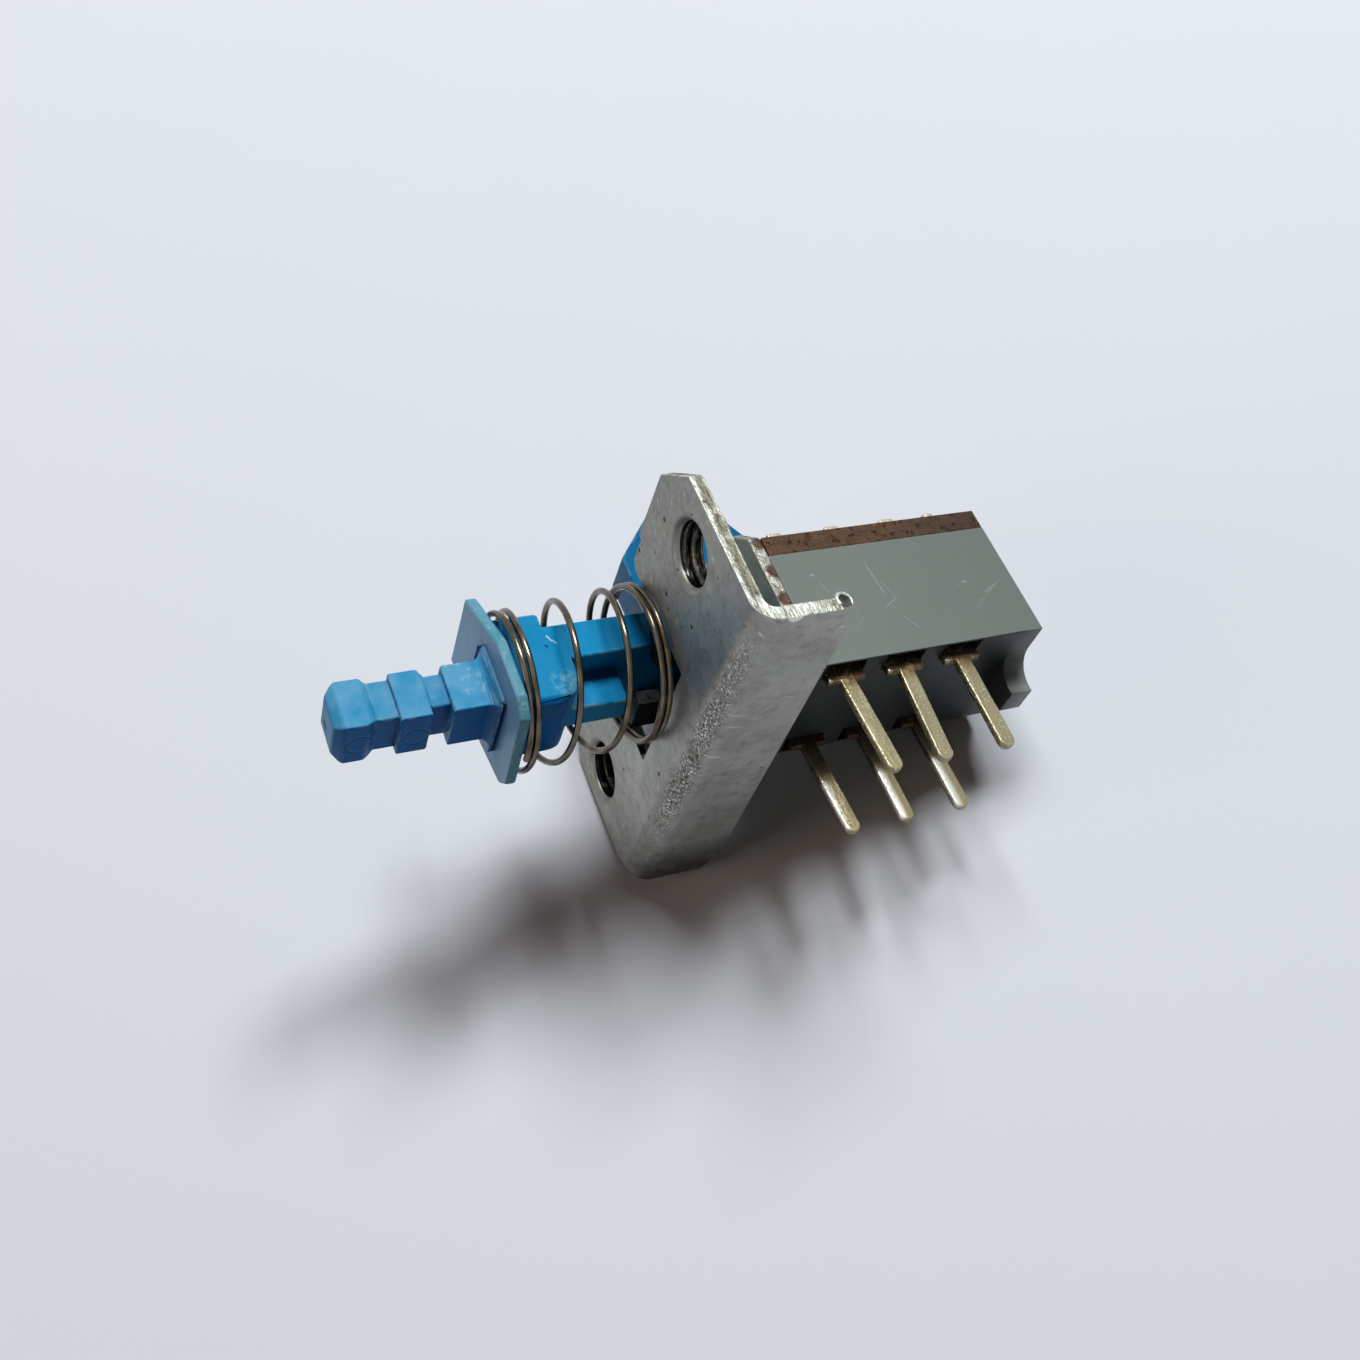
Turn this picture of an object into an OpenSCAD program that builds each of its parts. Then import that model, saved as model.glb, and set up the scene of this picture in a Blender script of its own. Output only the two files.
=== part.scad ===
// Latching push button switch with a threaded mounting bracket.
// X runs along the plunger into the body, Z is up (the terminals point down).
// The origin lies on the front face of the bracket, midway between its two threaded holes.

/* [Bracket] */
// Centre distance of the two threaded holes
hole_spacing = 15; // [13:0.1:18]
// Wall diameter of the threaded holes, for an M3 screw
thread_bore_d = 2.5; // [2:0.05:3.2]
// Metal left between the near threaded hole and the end of the plate
near_margin = 2.3; // [2:0.1:4]
// Metal left between the far threaded hole and the end of the plate
far_margin = 2; // [2:0.1:4]
// Sheet thickness
sheet_t = 0.6; // [0.4:0.05:0.8]
// Height of the plate's top edge above the axis
plate_rise = 3.5; // [3.2:0.1:4.5]
// Depth of the flange's underside below the axis
plate_drop = 5; // [4.6:0.1:6]
// Length of the flange, from the front face
flange_len = 4.05; // [3.2:0.05:4.8]
// Width of the slot that the plunger's neck fills
slot_w = 6.2; // [5.6:0.1:7]
// Depth of the slot's floor below the axis
slot_drop = 2.3; // [2.1:0.05:2.8]

/* [Body] */
// Distance from the bracket's front face to the body plate
plate_gap = 5.4; // [5:0.1:6.5]
// Thickness of the body plate
body_plate_t = 0.55; // [0.4:0.05:0.7]
// Length of the moulded housing
housing_len = 10.9; // [10.5:0.05:14]
// Width of the moulded housing
housing_w = 6.5; // [6.3:0.1:8]
// Depth of the housing's underside below the axis
housing_drop = 3.15; // [3:0.05:4]
// Height of the housing's top above the axis, where the board lies
housing_rise = 2.6; // [2.5:0.05:3.2]
// Thickness of the terminal board
board_t = 1; // [0.8:0.1:1.6]

/* [Terminals] */
// Distance between neighbouring terminals
terminal_pitch = 2.83; // [2.5:0.01:3]
// Distance between the two rows
row_spacing = 4.84; // [4.8:0.02:5]
// Distance from the housing's front to the first terminal
first_terminal = 1.2; // [1.1:0.05:2]
// Thickness of the terminal strip
terminal_t = 0.35; // [0.3:0.05:0.4]
// Width of the blade that enters the circuit board
blade_w = 0.7; // [0.5:0.05:0.8]
// Depth of the blade's tip below the axis
tip_drop = 7.95; // [6.5:0.05:10]

/* [Plunger] */
// Distance from the bracket's front face to the plunger's tip
tip_reach = 12.9; // [12.6:0.1:16]
// Width of the finger bar that takes the button cap
bar_w = 2.4; // [2:0.1:2.8]
// Height of the finger bar
bar_h = 2.2; // [2:0.1:2.6]
// Distance from the bracket's front face to the back of the plunger's spring flange
flange_reach = 6.1; // [6.1:0.05:6.5]
// Full travel of the plunger
travel = 3.4; // [2.4:0.1:3.4]
// Outer diameter of the return spring
spring_od = 6.55; // [6.5:0.01:6.6]
// Wire diameter of the return spring
spring_wire = 0.27; // [0.2:0.01:0.28]

/* [Hidden] */
$fn = 48;
eps = 0.01;
fit = 0.05;

// Bracket
bend_inner_r = 0.4;
bend_outer_r = bend_inner_r + sheet_t;
plate_near = -hole_spacing / 2 - near_margin;
plate_far = hole_spacing / 2 + far_margin;
far_trim = 0.4;
plate_chamfer = 1.7;
collar_d = thread_bore_d + 0.7;
collar_len = 0.4;
thread_len = sheet_t + collar_len;
entry_r = 0.3;
slot_corner_r = 0.1;
slot_mouth_r = 0.5;
mouth_w = slot_w + 3;
mouth_dip = 0.25;
flange_corner_x = 0.65;
flange_corner_y = 1.4;

// Body plate
body_x = plate_gap + body_plate_t;
body_end = body_x + housing_len;
horn_rise = housing_rise + board_t + 1.1;
horn_chamfer = 1.1;
window_half = 2;
window_drop = 2.25;
foot_r = 2.3;
foot_front = 1.3;
foot_top = plate_drop - sheet_t;

// Housing
wall_x = 1.3;
cavity_half = row_spacing / 2 - terminal_t / 2;
cavity_drop = 1.95;
cavity_end = body_end - wall_x;
slot_depth = 0.75;
shoulder_w = 1.75;
shoulder_drop = housing_drop + 0.4;
boss_len = 1.1;
boss_w = 1.3;
boss_drop = 1.45;
cove_r = 1.2;
nose_end = plate_gap - 0.9;
ledge_in = 1.28;
ledge_top = -0.04;
ledge_bottom = -0.69;
cheek_rise = 0.5;
bridge_front = 1.2;
bridge_top = -1.65;

// Board and terminals
board_z = housing_rise;
board_top = housing_rise + board_t;
stake_rise = 0.65;
stake_w = 0.7;
strip_w = 1;
rivet_d = 0.8;
rivet_rise = 0.55;
rivet_x = body_end - 1.9;
near_lean = [2.8, -3.4, -0.7];
far_lean = [3.2, 0.9, 0.9];
terminal_x = [for (i = [0:2]) body_x + first_terminal + i * terminal_pitch];

// Plunger
flange_t = 0.45;
flange_half = 2.9;
flange_rise = 3.95;
flange_drop = 3.05;
collar_t = 0.15;
cove = 0.4;
block_half = 1.9;
block_rise = 2.5;
block_drop = 1.85;
block_top_len = 1.95;
block_low_len = 2.65;
block_corner_r = 1.1;
wing_half = 1.9;
wing_rise = 1.7;
stem_half = 0.6;
stem_drop = 1.55;
stem_end = -1.25;
rib_rise = 0.7;
bar_front = -tip_reach;
flange_front = -flange_reach - flange_t;
groove_1 = [1.5, 2.45];
groove_2 = [3.7, 4.5];
cam_front = sheet_t + 0.2;
cam_end = 6.8;
cam_half = 1;
cam_rise = 7.6;
cam_floor = board_top + 0.25;
arm_len = 1;
head_x = body_x + fit;
head_len = 5.2;
head_half = 1.7;
head_rise = housing_rise - 0.1;
head_drop = cavity_drop - fit;
stop_t = 0.5;
stop_half = cavity_half - fit;

// Contact clips
clip_t = 0.15;
clip_len = terminal_pitch + 1;
clip_h = 1.6;
clip_x = head_x + 0.75;

// Return spring
spring_r = (spring_od - spring_wire) / 2;
closed_pitch = spring_wire + 0.02;
front_turns = 1.3;
free_turns = 2.45;
rear_turns = 1.75;
spring_front = [0, 0.12];
spring_back = [-0.5, 0.24];
spring_start = -flange_reach + spring_wire / 2;
spring_stop = -spring_wire / 2;
free_start = spring_start + front_turns * closed_pitch;
free_stop = spring_stop - rear_turns * closed_pitch;

// Latch
wire_d = 0.4;
track_depth = 0.6;
track_w = wire_d + 0.16;
pin_tip_x = cam_end - 0.9;
pin_z = cam_floor + 2.1;
pin_pivot_x = body_x + 5.45;
pin_len = pin_pivot_x - pin_tip_x;
swing = 11.4;
pin_y = cam_half + wire_d / 2 + 0.15;
post_front = pin_pivot_x - 0.8;
post_end = pin_pivot_x + 0.8;
post_in = pin_y + wire_d / 2 + fit;
post_out = housing_w / 2;
post_foot = 0.45;
post_rise = pin_z + 0.8;
leaf_t = 0.12;
leaf_front = pin_tip_x + 1.2;

// A box given by its two corners
module span(a, b) {
    translate(a) cube(b - a);
}

// A rectangle given by two corners
module flat(a, b) {
    translate(a) square(b - a);
}

// A shape drawn in the plane of Y and Z, raised along X from x0 to x1
module along_x(x0, x1) {
    translate([x0, 0, 0]) rotate([90, 0, 90]) linear_extrude(x1 - x0) children();
}

// A shape drawn in the plane of X and Z, raised along Y from y0 to y1
module along_y(y0, y1) {
    translate([0, y1, 0]) rotate([90, 0, 0]) linear_extrude(y1 - y0) children();
}

// A cylinder with its axis along X
module rod_x(x0, x1, r, y = 0, z = 0) {
    translate([x0, y, z]) rotate([0, 90, 0]) cylinder(r = r, h = x1 - x0);
}

// A cylinder with its axis along Y
module rod_y(y0, y1, r, x = 0, z = 0) {
    translate([x, y1, z]) rotate([90, 0, 0]) cylinder(r = r, h = y1 - y0);
}

// A rectangle with equal chamfers on all four corners
module chamfered(w, h, c) {
    polygon([[-w / 2 + c, -h / 2], [w / 2 - c, -h / 2], [w / 2, -h / 2 + c], [w / 2, h / 2 - c],
             [w / 2 - c, h / 2], [-w / 2 + c, h / 2], [-w / 2, h / 2 - c], [-w / 2, -h / 2 + c]]);
}

// Outline of the front plate: two chamfered shoulders and a slot open at the top
module plate_outline() {
    difference() {
        polygon([[plate_near, -plate_drop], [plate_far - far_trim, -plate_drop],
                 [plate_far - far_trim, -plate_drop + 0.8], [plate_far, -plate_drop + 2],
                 [plate_far, plate_rise - plate_chamfer], [plate_far - plate_chamfer, plate_rise],
                 [plate_near + plate_chamfer, plate_rise], [plate_near, plate_rise - plate_chamfer]]);
        flat([-mouth_w / 2, plate_rise - mouth_dip], [mouth_w / 2, plate_rise + 1]);
        difference() {
            flat([-slot_w / 2, -slot_drop], [slot_w / 2, plate_rise + 1]);
            for (s = [-1, 1]) translate([s * slot_w / 2, -slot_drop]) mirror([s > 0 ? 1 : 0, 0])
                difference() {
                    flat([-eps, -eps], [slot_corner_r, slot_corner_r]);
                    translate([slot_corner_r, slot_corner_r]) circle(slot_corner_r);
                }
        }
        for (s = [-1, 1]) translate([s * slot_w / 2, plate_rise - mouth_dip]) mirror([s > 0 ? 0 : 1, 0])
            difference() {
                flat([-eps, -slot_mouth_r], [slot_mouth_r, eps]);
                translate([slot_mouth_r, -slot_mouth_r]) circle(slot_mouth_r);
            }
    }
}

// Side profile of the folded sheet: plate, bend and flange
module fold_profile() {
    difference() {
        union() {
            flat([0, -plate_drop + bend_outer_r], [sheet_t, plate_rise]);
            flat([bend_outer_r, -plate_drop], [flange_len, -foot_top]);
            intersection() {
                translate([bend_outer_r, -plate_drop + bend_outer_r]) circle(bend_outer_r);
                flat([0, -plate_drop], [bend_outer_r, -plate_drop + bend_outer_r]);
            }
        }
        translate([bend_outer_r, -plate_drop + bend_outer_r]) circle(bend_inner_r);
    }
}

// Plan outline of the flange, with its two rear corners cut
module flange_outline() {
    polygon([[-1, plate_near], [flange_len - flange_corner_x, plate_near],
             [flange_len, plate_near + flange_corner_y], [flange_len, plate_far - far_trim - flange_corner_y],
             [flange_len - flange_corner_x, plate_far - far_trim], [-1, plate_far]]);
}

// Rounded entry of a threaded hole
module entry_round() {
    rotate([0, 90, 0]) rotate_extrude() difference() {
        flat([0, -eps], [thread_bore_d / 2 + entry_r, entry_r]);
        translate([thread_bore_d / 2 + entry_r, entry_r]) circle(entry_r);
    }
}

module bracket() {
    color("#9a9c9b") difference() {
        union() {
            intersection() {
                along_y(plate_near, plate_far) fold_profile();
                along_x(-1, flange_len + 1) plate_outline();
                translate([0, 0, -plate_drop - 1]) linear_extrude(plate_rise + plate_drop + 2) flange_outline();
            }
            for (s = [-1, 1]) rod_x(sheet_t / 2, thread_len, collar_d / 2, s * hole_spacing / 2);
        }
        for (s = [-1, 1]) {
            rod_x(-1, thread_len + 1, thread_bore_d / 2, s * hole_spacing / 2);
            translate([0, s * hole_spacing / 2, 0]) entry_round();
        }
    }
}

// Side profile of the body plate: foot, wide bend and upright
module body_plate_profile() {
    difference() {
        union() {
            flat([body_x - body_plate_t, -foot_top + foot_r], [body_x, horn_rise]);
            flat([foot_front, -foot_top], [body_x - foot_r, -foot_top + body_plate_t]);
            intersection() {
                translate([body_x - foot_r, -foot_top + foot_r]) circle(foot_r);
                flat([body_x - foot_r, -foot_top], [body_x, -foot_top + foot_r]);
            }
        }
        translate([body_x - foot_r, -foot_top + foot_r]) circle(foot_r - body_plate_t);
    }
}

module body_plate() {
    half = housing_w / 2;
    color("#8f9190") difference() {
        intersection() {
            along_y(-half, half) body_plate_profile();
            along_x(0, body_x + 1) polygon([[-half, -plate_drop], [half, -plate_drop],
                [half, horn_rise - horn_chamfer], [half - horn_chamfer, horn_rise],
                [-half + horn_chamfer, horn_rise], [-half, horn_rise - horn_chamfer]]);
        }
        span([plate_gap - 2, -window_half, -window_drop], [body_x + 1, window_half, horn_rise + 1]);
    }
}

// Nose of the housing: two rails under the plunger's wings, tied together by a bridge
module nose() {
    half = slot_w / 2 - fit;
    drop = -slot_drop + fit;
    for (s = [-1, 1]) {
        span([0, s > 0 ? ledge_in : -half, ledge_bottom], [nose_end, s > 0 ? half : -ledge_in, ledge_top]);
        span([0, s > 0 ? wing_half + 0.1 : -half, ledge_bottom], [nose_end, s > 0 ? half : -wing_half - 0.1, cheek_rise]);
        span([bridge_front, s > 0 ? half - 0.6 : -half, drop], [nose_end, s > 0 ? half : -half + 0.6, ledge_bottom + eps]);
    }
    span([bridge_front, -half, drop], [nose_end, half, bridge_top]);
    span([nose_end - eps, -window_half + fit, drop], [body_x - fit, window_half - fit, bridge_top]);
    span([body_x - 1, -window_half + fit, drop], [body_x + eps, window_half - fit, -cavity_drop]);
}

// Shelf, cavity, terminal slots, locating boss and latch block of the housing
module housing() {
    half = housing_w / 2;
    color("#4a4e50") union() {
        difference() {
            union() {
                span([body_x, -half, -housing_drop], [body_end, half, housing_rise]);
                span([post_front, post_in, housing_rise - 0.5], [post_end, post_out, post_rise]);
            }
            span([body_x - 1, -cavity_half, -cavity_drop], [cavity_end, cavity_half, housing_rise + eps]);
            for (s = [-1, 1], x = terminal_x) {
                terminal_slot(x, s);
            }
            span([post_front - 1, post_in - 1, housing_rise], [post_end + 1, post_out - post_foot, board_top + fit]);
            rod_y(post_in - 1, post_out + 1, wire_d / 2 + fit, pin_pivot_x, pin_z);
            span([post_front - 1, post_in - 1, pin_z - 0.85], [post_front + 0.25, post_in + leaf_t, pin_z + 0.55]);
            along_x(body_end - 1.6, body_end + 1) translate([0, housing_rise]) circle(0.9);
        }
        locating_boss();
        nose();
    }
}

// Opening in a side wall that takes one terminal and its shoulders
module terminal_slot(x, s) {
    y0 = s * (row_spacing / 2 - terminal_t / 2 - fit);
    y1 = s * (row_spacing / 2 + terminal_t / 2 + fit);
    y2 = s * (row_spacing / 2 + slot_depth);
    w = strip_w / 2 + fit;
    span([x - w, min(y0, y1), -housing_drop - 1], [x + w, max(y0, y1), housing_rise + 1]);
    span([x - shoulder_w / 2 - fit, min(y0, y2), -housing_drop - 1],
         [x + shoulder_w / 2 + fit, max(y0, y2), -housing_drop + 0.9]);
}

// Rear boss on the underside, coved on both sides
module locating_boss() {
    along_x(body_end - boss_len, body_end) difference() {
        flat([-boss_w / 2 - cove_r, -housing_drop - boss_drop], [boss_w / 2 + cove_r, -housing_drop + eps]);
        for (s = [-1, 1]) {
            translate([s * (boss_w / 2 + cove_r), -housing_drop - cove_r]) circle(cove_r);
            flat([s > 0 ? boss_w / 2 : -boss_w / 2 - cove_r - eps, -housing_drop - boss_drop - eps],
                 [s > 0 ? boss_w / 2 + cove_r + eps : -boss_w / 2, -housing_drop - cove_r]);
        }
    }
}

module terminal_board() {
    half = housing_w / 2;
    color("#5f4032") difference() {
        span([body_x + fit, -half, board_z], [body_end, half, board_top]);
        for (s = [-1, 1], x = terminal_x)
            translate([x, s * row_spacing / 2, board_z + board_t / 2])
                cube([stake_w + 2 * fit, terminal_t + 2 * fit, board_t + 1], center = true);
        for (s = [-1, 1])
            translate([rivet_x, s * row_spacing / 2, board_z - 1]) cylinder(d = rivet_d + 2 * fit, h = board_t + 2);
        span([post_front - fit, post_out - post_foot - fit, board_z - 1], [post_end + fit, half + 1, board_top + 1]);
    }
}

// Staked studs that hold the rear of the board
module board_rivets() {
    color("#b9a98c") for (s = [-1, 1])
        translate([rivet_x, s * row_spacing / 2, board_z]) {
            cylinder(d = rivet_d, h = board_t + 0.05);
            translate([0, 0, board_t]) cylinder(d = rivet_d - 0.1, h = rivet_rise);
        }
}

// One terminal: tab above the board, strip inside the wall, shoulders and blade
module terminal(i, s) {
    lean = s > 0 ? far_lean[i] : near_lean[i];
    x = terminal_x[i];
    y0 = s * row_spacing / 2 - terminal_t / 2;
    color("#c9bc98") translate([0, y0 + terminal_t, 0]) rotate([90, 0, 0]) linear_extrude(terminal_t) {
        flat([x - strip_w / 2, -shoulder_drop + 0.3], [x + strip_w / 2, board_z]);
        flat([x - stake_w / 2, board_z - eps], [x + stake_w / 2, board_top + stake_rise]);
        flat([x - shoulder_w / 2, -shoulder_drop], [x + shoulder_w / 2, -shoulder_drop + 0.8]);
        translate([x, -shoulder_drop]) rotate(lean) {
            flat([-blade_w / 2, -(tip_drop - shoulder_drop) + blade_w / 2], [blade_w / 2, 0.2]);
            translate([0, -(tip_drop - shoulder_drop) + blade_w / 2]) circle(blade_w / 2);
        }
    }
}

// Finger bar with two snap grooves and a chamfered tip
module finger_bar() {
    c = 0.35;
    w = bar_w / 2;
    h = bar_h / 2;
    g1 = bar_front + groove_1[0];
    g2 = bar_front + groove_1[1];
    g3 = bar_front + groove_2[0];
    g4 = bar_front + groove_2[1];
    end_x = flange_front + eps;
    intersection() {
        along_y(-w, w) polygon([[bar_front, -h + c], [bar_front + c, -h], [g1 - 0.3, -h], [g1 + 0.1, -h + 0.25],
            [g2, -h + 0.25], [g2, -h], [g3, -h], [g3, -h + 0.45], [g4, -h + 0.45], [g4, -h], [end_x, -h],
            [end_x, h], [g4, h], [g4, h - 0.25], [g3, h - 0.25], [g3 - 0.1, h], [g2, h], [g2, h - 0.15],
            [g1, h - 0.15], [g1 - 0.1, h], [bar_front + c, h], [bar_front, h - c]]);
        translate([0, 0, -h]) linear_extrude(2 * h) polygon([[bar_front, -w + c], [bar_front + c, -w],
            [g1 - 0.1, -w], [g1 + 0.15, -w + 0.2], [g2, -w + 0.2], [g2, -w], [g3, -w], [g3 + 0.1, -w + 0.2],
            [g4, -w + 0.2], [g4, -w], [end_x, -w], [end_x, w], [g4, w], [g4, w - 0.2], [g3 + 0.1, w - 0.2],
            [g3, w], [g2, w], [g2, w - 0.2], [g1 + 0.15, w - 0.2], [g1 - 0.1, w], [bar_front + c, w],
            [bar_front, w - c]]);
    }
}

// A quarter round fillet on both sides of a bar, ending on a face at x = 0
module coved(half) {
    difference() {
        flat([-cove, -half - cove], [eps, half + cove]);
        for (s = [-1, 1]) translate([-cove, s * (half + cove)]) circle(cove);
    }
}

// Spring flange, with a raised pad and a coved root towards the finger bar
module spring_flange() {
    along_x(flange_front, -flange_reach) polygon([[-flange_half, 0.5], [-flange_half + 1.6, flange_rise],
        [flange_half - 0.2, flange_rise], [flange_half, 0], [flange_half - 0.6, -flange_drop + 0.5],
        [flange_half - 1.3, -flange_drop], [-flange_half + 0.5, -flange_drop + 0.3], [-flange_half, -2]]);
    along_x(flange_front - collar_t, flange_front + eps) chamfered(bar_w + 1, bar_h + 0.7, 0.15);
    translate([flange_front - collar_t, 0, 0]) intersection() {
        along_y(-bar_w, bar_w) coved(bar_h / 2);
        translate([0, 0, -bar_h]) linear_extrude(2 * bar_h) coved(bar_w / 2);
    }
}

// Block that centres the spring, with a round lower corner
module spring_block() {
    x0 = -flange_reach - eps;
    top_x = -flange_reach + block_top_len;
    low_x = -flange_reach + block_low_len;
    r = block_corner_r;
    intersection() {
        along_y(-block_half, block_half) union() {
            flat([x0, -block_drop + r], [top_x, block_rise]);
            flat([x0, -block_drop], [low_x - r, 0]);
            flat([x0, -block_drop + r], [low_x, eps]);
            translate([low_x - r, -block_drop + r]) circle(r);
        }
        along_x(x0, low_x) translate([0, (block_rise - block_drop) / 2])
            chamfered(2 * block_half, block_rise + block_drop, 0.25);
    }
}

// Shaft with two wings and a short stem below them
module shaft() {
    span([-flange_reach, -wing_half, 0], [head_x + eps, wing_half, wing_rise]);
    span([-flange_reach, -stem_half, -stem_drop], [stem_end, stem_half, eps]);
    along_y(-0.6, 0.6) polygon([[-1.4, wing_rise - eps], [-0.9, wing_rise + rib_rise],
        [cam_front + eps, wing_rise + rib_rise], [cam_front + eps, wing_rise - eps]]);
}

// Cam block that rides above the body, with the latch track in its far side
module cam_block() {
    difference() {
        along_y(-cam_half, cam_half) polygon([[cam_front, wing_rise - 0.3], [cam_front + arm_len, wing_rise - 0.3],
            [cam_front + arm_len, cam_floor], [cam_end, cam_floor], [cam_end, cam_floor + 1.75],
            [cam_end - 1.2, cam_rise], [cam_front + 2.2, cam_rise], [cam_front, cam_rise - 2.4]]);
        latch_track();
    }
}

// Heart shaped track: outward leg, rest notch and return leg
module latch_track() {
    in_x = pin_tip_x - travel + pin_len * (1 - cos(swing));
    start = [pin_tip_x, pin_z];
    turn = [in_x, pin_z - pin_len * sin(swing)];
    notch = turn + [0, 0.7];
    peak = notch + [0.9, 1];
    back = [pin_tip_x - travel * 0.4, pin_z + 0.8];
    track_leg(start, turn);
    track_leg(turn, notch);
    track_leg(notch, notch + [0.6, 0]);
    track_leg(notch, peak);
    track_leg(peak, back);
    track_leg(back, start);
}

// One straight leg of the track with round ends
module track_leg(a, b) {
    d = b - a;
    for (p = [a, b]) rod_y(cam_half - track_depth, cam_half + 1, track_w / 2, p[0], p[1]);
    translate([a[0], cam_half - track_depth, a[1]]) rotate([0, -atan2(d[1], d[0]), 0])
        translate([0, 0, -track_w / 2]) cube([norm(d), track_depth + 1, track_w]);
}

// Head inside the housing, which stops on the body plate and carries the contact clips
module slider_head() {
    span([head_x, -stop_half, -head_drop], [head_x + stop_t, stop_half, head_rise]);
    difference() {
        span([head_x, -head_half, -head_drop], [head_x + head_len, head_half, head_rise]);
        for (s = [-1, 1])
            translate([clip_x - fit, s > 0 ? head_half - clip_t : -head_half - eps, -clip_h / 2 - fit])
                cube([clip_len + 2 * fit, clip_t + eps, clip_h + 2 * fit]);
    }
}

module plunger() {
    color("#2f87c1") union() {
        finger_bar();
        spring_flange();
        spring_block();
        shaft();
        cam_block();
        slider_head();
    }
}

// Point on the spring's axis line after u turns
function spring_x(u) = u < front_turns ? spring_start + u * closed_pitch
    : u < front_turns + free_turns ? free_start + (u - front_turns) * (free_stop - free_start) / free_turns
    : spring_stop - (front_turns + free_turns + rear_turns - u) * closed_pitch;
// Centre of the spring at x, as Y and Z: the spring leans a little towards the near side
function spring_mid(x) = spring_back + (spring_front - spring_back) * x / spring_start;

// Round wire swept along the helix as one closed mesh
module return_spring() {
    sides = 8;
    steps = 26;
    turns = front_turns + free_turns + rear_turns;
    rings = round(turns * steps);
    points = [for (i = [0:rings]) let (u = turns * i / rings, a = 360 * u)
        let (mid = spring_mid(spring_x(u)))
            for (k = [0:sides - 1]) let (t = 360 * k / sides, r = spring_r + spring_wire / 2 * cos(t))
                [spring_x(u) + spring_wire / 2 * sin(t), mid[0] - r * sin(a), mid[1] - r * cos(a)]];
    faces = concat([[for (k = [0:sides - 1]) k]],
        [for (i = [0:rings - 1], k = [0:sides - 1]) let (m = (k + 1) % sides)
            [i * sides + m, i * sides + k, (i + 1) * sides + k, (i + 1) * sides + m]],
        [[for (k = [sides - 1:-1:0]) rings * sides + k]]);
    color("#a39a86") polyhedron(points, faces);
}

// Sprung bridge that joins two neighbouring terminals of one row
module contact_clip(s) {
    gap = cavity_half - fit - head_half;
    color("#c8a060") translate([clip_x, s * head_half, 0]) mirror([0, s > 0 ? 0 : 1, 0])
        translate([0, 0, -clip_h / 2]) linear_extrude(clip_h) {
            flat([0, -clip_t + fit / 2], [clip_len, -eps]);
            for (x = [0.65, clip_len - 0.65]) intersection() {
                translate([x, gap - 0.6]) circle(0.6);
                flat([x - 0.6, -0.05], [x + 0.6, gap]);
            }
        }
}

// Bent wire pin: pivot leg in the post, arm, and tip in the track
module latch_pin() {
    tip_y = cam_half - track_depth + 0.1;
    color("#b8b6ae") union() {
        rod_x(pin_tip_x, pin_pivot_x, wire_d / 2, pin_y, pin_z);
        rod_y(tip_y, pin_y, wire_d / 2, pin_tip_x, pin_z);
        rod_y(pin_y, post_out - 0.2, wire_d / 2, pin_pivot_x, pin_z);
        translate([pin_tip_x, pin_y, pin_z]) sphere(wire_d / 2);
        translate([pin_pivot_x, pin_y, pin_z]) sphere(wire_d / 2);
    }
}

// Leaf set into the post, which keeps the pin's tip in its track
module latch_spring() {
    color("#b0aca0") span([leaf_front, post_in, pin_z - 0.8], [post_front + 0.2, post_in + leaf_t, pin_z + 0.5]);
}

bracket();
body_plate();
housing();
terminal_board();
board_rivets();
terminal(0, -1);  // terminal_near_1
terminal(1, -1);  // terminal_near_2
terminal(2, -1);  // terminal_near_3
terminal(0, 1);  // terminal_far_1
terminal(1, 1);  // terminal_far_2
terminal(2, 1);  // terminal_far_3
plunger();
return_spring();
contact_clip(-1);  // contact_clip_near
contact_clip(1);  // contact_clip_far
latch_pin();
latch_spring();
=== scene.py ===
"""Latching push button switch with a threaded bracket, lying on its far side on a pale table."""

from math import cos, pi, radians, sin

import bmesh
import bpy
from mathutils import Matrix, Vector, noise


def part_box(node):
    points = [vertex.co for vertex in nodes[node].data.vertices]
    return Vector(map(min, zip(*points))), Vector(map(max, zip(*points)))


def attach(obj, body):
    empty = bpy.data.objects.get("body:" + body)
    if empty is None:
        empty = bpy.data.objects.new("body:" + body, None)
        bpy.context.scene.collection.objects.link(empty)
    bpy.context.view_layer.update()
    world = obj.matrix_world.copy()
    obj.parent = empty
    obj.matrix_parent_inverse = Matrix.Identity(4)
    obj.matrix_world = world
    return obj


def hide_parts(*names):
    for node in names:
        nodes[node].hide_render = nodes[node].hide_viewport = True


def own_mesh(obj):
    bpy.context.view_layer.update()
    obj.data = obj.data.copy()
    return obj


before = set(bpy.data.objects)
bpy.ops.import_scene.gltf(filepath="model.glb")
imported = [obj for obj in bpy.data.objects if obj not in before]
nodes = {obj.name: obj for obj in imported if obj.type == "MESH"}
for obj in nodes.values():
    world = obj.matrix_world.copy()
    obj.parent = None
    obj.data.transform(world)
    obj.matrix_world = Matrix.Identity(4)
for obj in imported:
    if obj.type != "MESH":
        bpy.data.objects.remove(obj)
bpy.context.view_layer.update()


# ---------------------------------------------------------------- Bracket
# One strip of 0.6 mm steel sheet, blanked, folded along its lower edge and zinc plated.
# Two M3 threads run through pulled collars. The plating is dull, rubbed rough along the
# outside of the fold, and the sheared edges have no plating left, so they shine and rust.
MM = 0.001  # sizes are in millimetres. X runs to the rear, Y to the far side and Z to the board
SHEET = 0.6
FOLD_TOP = -2.5
FLANGE_REAR = 3.3
HOLE_Y = 7.5
THREAD_CORE = 1.25
THREAD_DEPTH = 0.22
THREAD_PITCH = 0.36
THREAD_FROM, THREAD_TO = 0.34, 1.05
WALL_RINGS = 32
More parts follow.
